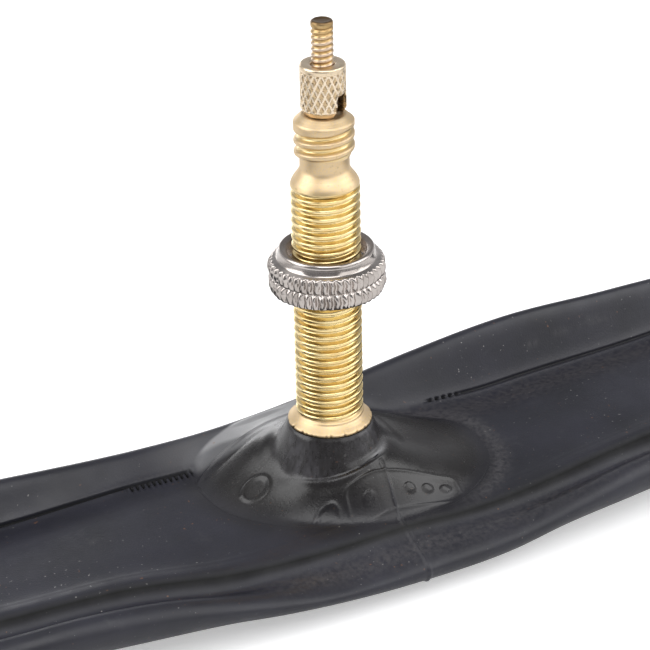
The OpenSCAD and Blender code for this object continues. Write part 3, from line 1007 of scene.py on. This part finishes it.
def add(tree, kind, **inputs):
    """A new node with its named inputs fed."""
    return fill(tree, tree.nodes.new(kind), **inputs)


def worked(tree, kind, operation, a, b):
    """The outputs of an operation on two values or two vectors."""
    node = tree.nodes.new(kind)
    node.operation = operation
    feed(tree, node.inputs[0], a)
    feed(tree, node.inputs[1], b)
    return node.outputs


def place(tree, scale=(1000, 1000, 1000), at=(0, 0, 0)):
    """Object coordinates from a point in metres, times the scale: times a thousand, they are millimetres."""
    where = tree.nodes.new("ShaderNodeTexCoord").outputs["Object"]
    shift = worked(tree, "ShaderNodeVectorMath", "SUBTRACT", where, at)[0]
    return add(tree, "ShaderNodeMapping", Vector=shift, Scale=scale).outputs["Vector"]


def noise(tree, vector, lumps, detail, roughness):
    """Cloudy noise from 0 to 1, with the given number of lumps a unit."""
    node = add(tree, "ShaderNodeTexNoise", Vector=vector, Scale=lumps, Detail=detail, Roughness=roughness)
    return node.outputs["Fac"]


def levels(tree, value, low, high, to_low=0.0, to_high=1.0):
    """A value stretched from one span to another, and kept within it."""
    spans = {"From_Min": low, "From_Max": high, "To_Min": to_low, "To_Max": to_high}
    return add(tree, "ShaderNodeMapRange", Value=value, **spans).outputs["Result"]


def math_node(tree, operation, a, b):
    """Arithmetic on two values."""
    return worked(tree, "ShaderNodeMath", operation, a, b)[0]


def mix(tree, share, a, b):
    """One colour over another by a share from 0 to 1."""
    node = tree.nodes.new("ShaderNodeMix")
    node.data_type = "RGBA"
    for key, value in (("Factor", share), ("A", a), ("B", b)):
        feed(tree, next(s for s in node.inputs if s.name == key and s.enabled), value)
    return next(s for s in node.outputs if s.enabled)


def marked(tree, name):
    """The number that a piece carries at each vertex under the given name."""
    node = tree.nodes.new("ShaderNodeAttribute")
    node.attribute_name = name
    return node.outputs["Fac"]


SOCKETS = {float: "NodeSocketFloat", tuple: "NodeSocketColor"}

# Colours that every rubber or metal shares
RUBBED_TONE = (0.042, 0.04, 0.044)
SMUDGE_TONE = (0.05, 0.05, 0.054)
# A pale painted sheen, laid where light glances off the stretched skin and the boss's foot
PAINTED_SHEEN_TONE = (0.23, 0.23, 0.235)
TALC_TONE = (0.3, 0.29, 0.28)
RUST_TONE = (0.2, 0.09, 0.04)
# Near black, painted shade down in the mould's groove and the front fold's valley
PAINTED_SHADE_TONE = (0.002, 0.002, 0.002)
# Brown for real grime, and for painted shade and a painted reflection on the nuts
GRIME_AND_SHADE_TONE = (0.075, 0.042, 0.025)
TUBE_BLOOM = {
    "Dark": (0.0083, 0.0084, 0.0128),
    "Light": (0.0172, 0.0172, 0.0262),
    "Scuff": (0.026, 0.0255, 0.034),
}
PAD_BLOOM = {
    "Dark": (0.0036, 0.0028, 0.0026),
    "Light": (0.0085, 0.0068, 0.0064),
    "Scuff": (0.022, 0.02, 0.02),
}

# Depth of the bumps in metres
GRAIN_DEPTH = 0.00004
RINGS_DEPTH = 0.00002


def new_group(name, inputs, outputs):
    """A node group whose inputs are named with their usual values and whose outputs are named with their
    kinds. Gives the group and the sockets inside it to read from and to write to."""
    group = bpy.data.node_groups.new(name, "ShaderNodeTree")
    for key, value in inputs.items():
        socket = group.interface.new_socket(key, in_out="INPUT", socket_type=SOCKETS[type(value)])
        socket.default_value = (*value, 1) if isinstance(value, tuple) else value
    for key, kind in outputs.items():
        group.interface.new_socket(key, in_out="OUTPUT", socket_type=SOCKETS[kind])
    return group, group.nodes.new("NodeGroupInput").outputs, group.nodes.new("NodeGroupOutput").inputs


def use(tree, group, **inputs):
    """The outputs of a group placed in a tree, with its inputs fed."""
    node = tree.nodes.new("ShaderNodeGroup")
    node.node_tree = group
    return fill(tree, node, **inputs).outputs


def specks_group():
    """Small separate specks: the tops of cloudy noise, kept to patches of a coarser one."""
    usual = {"Lumps": 3.0, "Patch": 0.09, "Few": 0.75, "Amount": 1.0}
    group, given, result = new_group("specks", usual, {"Mask": float})
    mm = place(group)
    top = math_node(group, "ADD", given["Few"], 0.07)
    speck = levels(group, noise(group, mm, given["Lumps"], 1.0, 0.4), given["Few"], top)
    patch = levels(group, noise(group, mm, given["Patch"], 2.0, 0.5), 0.42, 0.68, 0.1, 1.0)
    mask = math_node(group, "MULTIPLY", math_node(group, "MULTIPLY", speck, patch), given["Amount"])
    feed(group, result["Mask"], mask)
    return group


def bloom_group():
    """Cloudy bloom between two colours, crossed by long thin scuffs of a third."""
    usual = {"Dark": (0.009, 0.009, 0.012), "Light": (0.018, 0.018, 0.024), "Scuff": (0.026, 0.026, 0.031)}
    group, given, result = new_group("rubber_bloom", usual, {"Color": tuple})
    cloud = levels(group, noise(group, place(group), 0.12, 5.0, 0.6), 0.3, 0.72)
    body = mix(group, cloud, given["Dark"], given["Light"])
    scuffs = noise(group, place(group, (350, 350, 1400)), 0.5, 4.0, 0.6)
    scuffed = levels(group, scuffs, 0.55, 0.8, 0.0, 0.35)
    feed(group, result["Color"], mix(group, scuffed, body, given["Scuff"]))
    return group


def grain_group():
    """Fine grain of moulded rubber with a few long scratches, as a height, and an uneven gloss."""
    group, given, result = new_group("rubber_grain", {"Gloss": 0.4}, {"Height": float, "Roughness": float})
    mm = place(group)
    grain = noise(group, mm, 5.0, 3.0, 0.6)
    scratch = levels(group, noise(group, place(group, (2600, 2600, 240)), 1.0, 2.0, 0.5), 0.6, 0.75)
    scratched = math_node(group, "MULTIPLY", scratch, 0.25)
    feed(group, result["Height"], math_node(group, "ADD", grain, scratched))
    uneven = levels(group, noise(group, mm, 0.4, 4.0, 0.6), 0.3, 0.75, -0.05, 0.1)
    feed(group, result["Roughness"], math_node(group, "ADD", given["Gloss"], uneven))
    return group


def lathe_group():
    """Fine rings left by a lathe round the valve's axis, as a height, and a gloss that follows them."""
    group, given, result = new_group("lathe_rings", {"Gloss": 0.25}, {"Height": float, "Roughness": float})
    fine = noise(group, place(group, (60, 60, 4200), tuple(VALVE * MM)), 1.0, 3.0, 0.6)
    rings = levels(group, fine, 0.3, 0.7)
    feed(group, result["Height"], rings)
    share = levels(group, rings, 0.0, 1.0, 0.8, 1.25)
    feed(group, result["Roughness"], math_node(group, "MULTIPLY", given["Gloss"], share))
    return group


def tarnish_group():
    """A metal's colour wandering between two tones."""
    usual = {"Bright": (0.8, 0.6, 0.3), "Deep": (0.6, 0.4, 0.2)}
    group, given, result = new_group("tarnish", usual, {"Color": tuple})
    tone = levels(group, noise(group, place(group, at=tuple(VALVE * MM)), 0.5, 4.0, 0.6), 0.35, 0.7)
    feed(group, result["Color"], mix(group, tone, given["Bright"], given["Deep"]))
    return group


def wear_group():
    """Rubber rubbed pale in short streaks, and smudged."""
    usual = {"Color": (0.01, 0.01, 0.01), "Rubbed": 0.0, "Dust": 0.0}
    group, given, result = new_group("rubber_wear", usual, {"Color": tuple})
    streaks = noise(group, place(group, (2200, 2200, 500)), 1.0, 3.0, 0.6)
    rubbed = math_node(group, "MULTIPLY", levels(group, streaks, 0.36, 0.66, 0.1, 1.0), given["Rubbed"])
    body = mix(group, rubbed, given["Color"], RUBBED_TONE)
    smudge = noise(group, place(group, (200, 200, 300)), 1.0, 4.0, 0.65)
    dusty = math_node(group, "MULTIPLY", levels(group, smudge, 0.62, 0.78, 0.0, 0.5), given["Dust"])
    feed(group, result["Color"], mix(group, dusty, body, SMUDGE_TONE))
    return group


def sand_group():
    """A fine sandy mask, as strong as the finish is matte."""
    group, given, result = new_group("sandy_grain", {"Matte": 0.0}, {"Mask": float})
    sand = levels(group, noise(group, place(group), 7.0, 2.0, 0.6), 0.38, 0.66, 0.0, 0.45)
    feed(group, result["Mask"], math_node(group, "MULTIPLY", sand, given["Matte"]))
    return group


SPECKS, BLOOM, WEAR, GRAIN = specks_group(), bloom_group(), wear_group(), grain_group()
LATHE, TARNISH, SAND = lathe_group(), tarnish_group(), sand_group()


def shaded(name):
    """A new material, with its node tree and its shader."""
    material = bpy.data.materials.new(name)
    material.use_nodes = True
    return material, material.node_tree, material.node_tree.nodes["Principled BSDF"]


def bumped(tree, height, strength, depth):
    """A normal bumped by a height, with its depth in metres."""
    return add(tree, "ShaderNodeBump", Height=height, Strength=strength, Distance=depth).outputs["Normal"]


def rubber_material(name, dust, shine):
    """Rubber with bloom, talc and rust specks, and a fine grain.

    The mark bond goes from the tube's dusty blue-black to the pad's glossy brown-black, the sheen mark lays
    a pale painted sheen on stretched skin and the boss's foot, the wear mark rubs it pale and on the boss
    paints its light patches as highlights, and groove dulls the mould's lines and paints shade in them and
    in the front fold's valley.
    """
    material, tree, shader = shaded(name)
    bond, groove = marked(tree, "bond"), marked(tree, "groove")
    tube_color, pad_color = (use(tree, BLOOM, **tones)["Color"] for tones in (TUBE_BLOOM, PAD_BLOOM))
    body = mix(tree, bond, tube_color, pad_color)
    # Painted sheen: a pale tone where light would glance off the stretched skin and the boss's foot
    body = mix(tree, marked(tree, "painted_sheen"), body, PAINTED_SHEEN_TONE)
    # Rubbed pale, which on the boss also paints its light patches as highlights
    body = use(tree, WEAR, Color=body, Rubbed=marked(tree, "wear_and_highlight"), Dust=dust)["Color"]
    talc = use(tree, SPECKS, Lumps=3.4, Patch=0.09, Few=0.74, Amount=dust)
    body = mix(tree, talc["Mask"], body, TALC_TONE)
    rust = use(tree, SPECKS, Lumps=2.3, Patch=0.13, Few=0.75, Amount=dust)
    body = mix(tree, rust["Mask"], body, RUST_TONE)
    # Painted shade in the mould's groove and the front fold's valley
    color = mix(tree, groove, body, PAINTED_SHADE_TONE)
    grain = use(tree, GRAIN, Gloss=levels(tree, bond, 0.0, 1.0, 0.4, 0.24))
    rough = math_node(tree, "ADD", grain["Roughness"], math_node(tree, "MULTIPLY", groove, 0.45))
    normal = bumped(tree, grain["Height"], 0.35, GRAIN_DEPTH)
    fill(tree, shader, Base_Color=color, Roughness=rough, Normal=normal, Specular_IOR_Level=shine)
    return material


def metal_material(name, bright, deep, pale, gloss, rings, pits):
    """Turned metal with tarnish, pits and lathe rings.

    The mark pale goes over to a paler tone, a painted highlight on the lock nut's raised lines, matte makes
    the finish rougher and sandy, and the grime mark darkens it to brown: real grime on the stem's skirt and
    the pin, painted shade in the lock nut's slot and pits, and a painted reflection on the rim nut's cone.
    """
    material, tree, shader = shaded(name)
    body = mix(tree, marked(tree, "pale"), use(tree, TARNISH, Bright=bright, Deep=deep)["Color"], pale)
    spotted = use(tree, SPECKS, Lumps=4.0, Patch=0.9, Few=0.66, Amount=pits)["Mask"]
    # Brown for real grime, painted shade in slots and pits, and a painted reflection on the rim nut's cone
    body = mix(tree, math_node(tree, "MAXIMUM", spotted, marked(tree, "grime_and_shade")), body, GRIME_AND_SHADE_TONE)
    matte = marked(tree, "matte")
    color = mix(tree, use(tree, SAND, Matte=matte)["Mask"], body, deep)
    lathe = use(tree, LATHE, Gloss=gloss)
    rough = math_node(tree, "ADD", lathe["Roughness"], math_node(tree, "MULTIPLY", matte, 0.2))
    normal = bumped(tree, lathe["Height"], rings, RINGS_DEPTH)
    fill(tree, shader, Base_Color=color, Metallic=1.0, Roughness=rough, Normal=normal)
    return material


# Rubbers by dust and shine; metals by bright, deep and pale tone, gloss, rings and pits
RUBBERS = {"tube_rubber": (0.9, 0.44), "pad_rubber": (0.4, 0.48), "seal_rubber": (0.2, 0.44)}
METALS = {
    "stem_brass": ((0.87, 0.71, 0.38), (0.74, 0.54, 0.23), (0.62, 0.48, 0.32), 0.24, 0.4, 0.3),
    "lock_brass": ((0.7, 0.54, 0.33), (0.56, 0.4, 0.23), (0.76, 0.64, 0.49), 0.27, 0.2, 0.2),
    "pin_brass": ((0.6, 0.42, 0.2), (0.44, 0.28, 0.11), (0.62, 0.52, 0.46), 0.32, 0.25, 0.3),
    "nut_nickel": ((0.52, 0.475, 0.445), (0.36, 0.325, 0.3), (0.7, 0.68, 0.66), 0.17, 0.3, 0.1),
}
materials = {slot: rubber_material(slot, *looks) for slot, looks in RUBBERS.items()}
materials.update({slot: metal_material(slot, *looks) for slot, looks in METALS.items()})

# The pieces: name, points with marks, the solid that it replaces, body and slot
pieces = [
    ("rubber_tube", tube_points(), "tube_body", "tube", "tube_rubber"),
    ("rubber_pad", pad_points(), "valve_pad", "tube", "pad_rubber"),
    ("brass_stem", stem_points(), "valve_stem", "tube", "stem_brass"),
    ("nickel_nut", rim_nut_points(), "rim_nut", "rim_nut", "nut_nickel"),
    ("brass_lock", lock_nut_points(), "lock_nut", "lock_nut", "lock_brass"),
    ("brass_pin", pin_points(), "valve_pin", "pin", "pin_brass"),
    ("rubber_seal", seal_points(), "pin_seal", "pin", "seal_rubber"),
]
for name, (points, marks), node, body, slot in pieces:
    piece = surface(name, points, materials[slot], node == "valve_pin", **marks)
    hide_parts(node)
    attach(piece, body)
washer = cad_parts["seal_washer"]
washer.data.materials.clear()
washer.data.materials.append(materials["pin_brass"])


# Floor, light and camera

FLOOR_HALF = 6.0
FLOOR_TONE = (0.82, 0.82, 0.82)
DIRECT_LIFT = 0.4
MIRRORED_LIFT = 0.08


def floor_material():
    """White paper that keeps the shadow: it glows to white for the camera, and faintly in a mirror."""
    material, tree, shader = shaded("white_floor")
    light = tree.nodes.new("ShaderNodeLightPath").outputs
    mirrored = math_node(tree, "MAXIMUM", light["Is Glossy Ray"], light["Is Transmission Ray"])
    direct = math_node(tree, "MULTIPLY", light["Is Camera Ray"], DIRECT_LIFT)
    lift = math_node(tree, "MAXIMUM", direct, math_node(tree, "MULTIPLY", mirrored, MIRRORED_LIFT))
    fill(tree, shader, Base_Color=FLOOR_TONE, Roughness=0.9)
    fill(tree, shader, Emission_Color=(1, 1, 1), Emission_Strength=lift)
    return material


floor_mesh = bpy.data.meshes.new("floor")
floor_corners = [(x * FLOOR_HALF, y * FLOOR_HALF, 0) for x, y in ((-1, -1), (1, -1), (1, 1), (-1, 1))]
floor_mesh.from_pydata(floor_corners, [], [(0, 1, 2, 3)])
floor_mesh.materials.append(floor_material())
floor = placed("floor", floor_mesh)

# Camera fitted to the stem in the photograph
CAMERA_TURN = math.radians(-26.5)
CAMERA_RISE = math.radians(27.6)
CAMERA_FAR = 200.0
CAMERA_LEAN = math.radians(1.2)
TARGET_HEIGHT = 21.98
FOCUS_PIXELS = 2285.0
PICTURE = 650.0
SENSOR = 36.0
TARGET_PIXEL = 328.0

target = (VALVE + np.array([0, 0, TARGET_HEIGHT])) * MM
back = Vector((
    math.sin(CAMERA_TURN) * math.cos(CAMERA_RISE),
    -math.cos(CAMERA_TURN) * math.cos(CAMERA_RISE),
    math.sin(CAMERA_RISE),
))
camera_data = bpy.data.cameras.new("camera")
camera_data.sensor_width = SENSOR
camera_data.lens = SENSOR * FOCUS_PIXELS / PICTURE
camera_data.shift_x = (PICTURE / 2 - TARGET_PIXEL) / PICTURE
camera_data.clip_start = 0.005
camera_data.clip_end = 50
camera = placed("camera", camera_data)
camera.location = Vector(target) + back * CAMERA_FAR * MM
level = (-back).to_track_quat("-Z", "Y").to_matrix()
camera.rotation_mode = "QUATERNION"
camera.rotation_quaternion = (level @ Matrix.Rotation(CAMERA_LEAN, 3, "Z").inverted()).to_quaternion()
bpy.context.scene.camera = camera

AIM_HEIGHT = 20.0


def softbox(name, offset, width, height, power):
    """An area lamp at a place round the valve, in millimetres, facing it, with its sides in metres."""
    lamp = bpy.data.lights.new(name, "AREA")
    lamp.shape = "RECTANGLE"
    lamp.size = width
    lamp.size_y = height
    lamp.energy = power
    box = placed(name, lamp)
    box.location = Vector((VALVE + np.array(offset)) * MM)
    aim = Vector((VALVE + np.array([0, 0, AIM_HEIGHT])) * MM) - box.location
    box.rotation_mode = "QUATERNION"
    box.rotation_quaternion = aim.to_track_quat("-Z", "Y")


softbox("softbox_left", (-850, 250, 600), 0.9, 0.9, 7.8)
softbox("softbox_right", (850, -350, 600), 0.7, 0.9, 5)
softbox("softbox_near", (380, -850, 600), 0.8, 0.8, 3)
softbox("softbox_front", (-250, -650, 1150), 0.9, 0.9, 8.2)
softbox("softbox_top", (-100, 400, 1000), 1.0, 1.0, 1.5)
softbox("strip_behind", (80, 1000, 110), 0.45, 0.2, 0.8)

# The room as the camera sees it: on its own side, behind the part, overhead, and a bright wall low behind
NEAR_TONE = (0.27, 0.27, 0.28)
BEHIND_TONE = (0.42, 0.43, 0.45)
OVERHEAD_TONE = (0.26, 0.265, 0.28)
WALL_TONE = (0.75, 0.75, 0.77)

world = bpy.data.worlds.new("studio")
bpy.context.scene.world = world
world.use_nodes = True
sky = world.node_tree
sides = sky.nodes.new("ShaderNodeTexCoord").outputs["Generated"]
upward = add(sky, "ShaderNodeSeparateXYZ", Vector=sides).outputs["Z"]
to_camera = (math.sin(CAMERA_TURN), -math.cos(CAMERA_TURN), 0)
toward = worked(sky, "ShaderNodeVectorMath", "DOT_PRODUCT", sides, to_camera)["Value"]
behind = levels(sky, toward, -0.1, 0.75, 1.0, 0.0)
horizon = math_node(sky, "MULTIPLY", behind, levels(sky, upward, 0.1, 0.44, 1.0, 0.0))
room = mix(sky, behind, NEAR_TONE, BEHIND_TONE)
room = mix(sky, levels(sky, upward, 0.5, 0.85), room, OVERHEAD_TONE)
fill(sky, sky.nodes["Background"], Color=mix(sky, horizon, room, WALL_TONE), Strength=1.0)
bpy.context.scene.view_settings.view_transform = "Standard"
